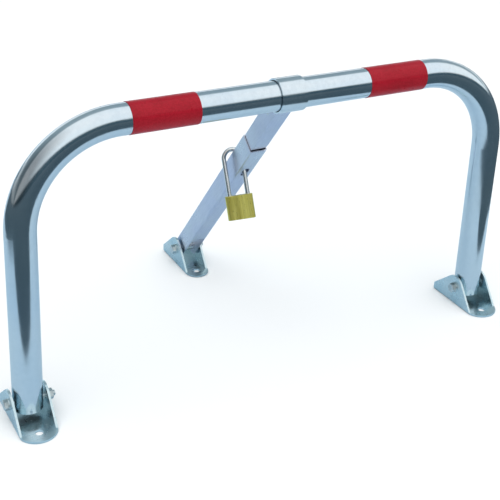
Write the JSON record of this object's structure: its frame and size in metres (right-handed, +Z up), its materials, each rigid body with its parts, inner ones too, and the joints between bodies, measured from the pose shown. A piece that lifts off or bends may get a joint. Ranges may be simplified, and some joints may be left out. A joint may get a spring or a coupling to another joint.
{
  "type": "folding parking lock",
  "caption": "Folding parking barrier: bent tube arch on hinged feet, telescoping rear strut held by a hanging padlock, red bands.",
  "frame": {"origin": "on the ground, midway between the anchor holes of the two front feet", "axes": "+X along the arch's top bar to the right seen from the front, +Y back along the strut, +Z up"},
  "size_m": [0.795, 0.411, 0.419],
  "materials": {
    "zinc_tube": "bright zinc plate",
    "zinc_sheet": "bright zinc plated sheet",
    "fastener": "zinc plated",
    "red_reflective": "red reflective tape",
    "brass": "brushed brass",
    "shackle_steel": "polished hardened steel",
    "plug_brass": "turned brass"
  },
  "bodies": {
    "feet": {"foot_left": "zinc_sheet", "foot_right": "zinc_sheet", "foot_rear": "zinc_sheet", "front_bolts": "fastener", "rear_bolt": "fastener", "pivot_nuts": "fastener", "pivot_washers": "fastener", "rear_spacers": "fastener"},
    "arch": {"arch_tube": "zinc_tube", "arch_bushes": "fastener", "red_band_left": "red_reflective", "red_band_right": "red_reflective"},
    "upper_strut": {"upper_channel": "zinc_sheet", "strut_collar": "zinc_sheet", "collar_rivets": "fastener"},
    "lower_strut": {"lower_channel": "zinc_sheet", "rear_bush": "fastener"},
    "shackle": {"padlock_shackle": "shackle_steel"},
    "padlock": {"padlock_body": "brass", "lock_cylinder": "plug_brass", "pin_plugs": "plug_brass"},
    "plug": {"key_plug": "plug_brass"}
  },
  "joints": [
    {"name": "arch_fold", "type": "hinge", "parent": "feet", "child": "arch", "pos_m": [0, 0.043, 0.027], "axis": [1, 0, 0], "range_deg": [0, 90]},
    {"name": "collar_turn", "type": "hinge", "parent": "arch", "child": "upper_strut", "pos_m": [0.006, 0.043, 0.396], "axis": [1, 0, 0], "range_deg": [-40, 0]},
    {"name": "strut_turn", "type": "hinge", "parent": "feet", "child": "lower_strut", "pos_m": [0.006, 0.344, 0.027], "axis": [1, 0, 0], "range_deg": [0, 51]},
    {"name": "padlock_swing", "type": "hinge", "parent": "lower_strut", "child": "shackle", "pos_m": [-0.00471, 0.16422, 0.27113], "axis": [-1, 0, 0], "range_deg": [0, 10]},
    {"name": "padlock_release", "type": "slide", "parent": "shackle", "child": "padlock", "axis": [0, -0.3907, -0.9205], "range_m": [0, 0.012]},
    {"name": "key_turn", "type": "hinge", "parent": "padlock", "child": "plug", "pos_m": [-0.00471, 0.13114, 0.17833], "axis": [0, -0.3907, -0.9205], "range_deg": [0, 90]}
  ],
  "couplings": [
    {"joint": "strut_turn", "follows": "arch_fold", "ratio": 0.56439},
    {"joint": "collar_turn", "follows": "arch_fold", "ratio": -0.43561}
  ]
}
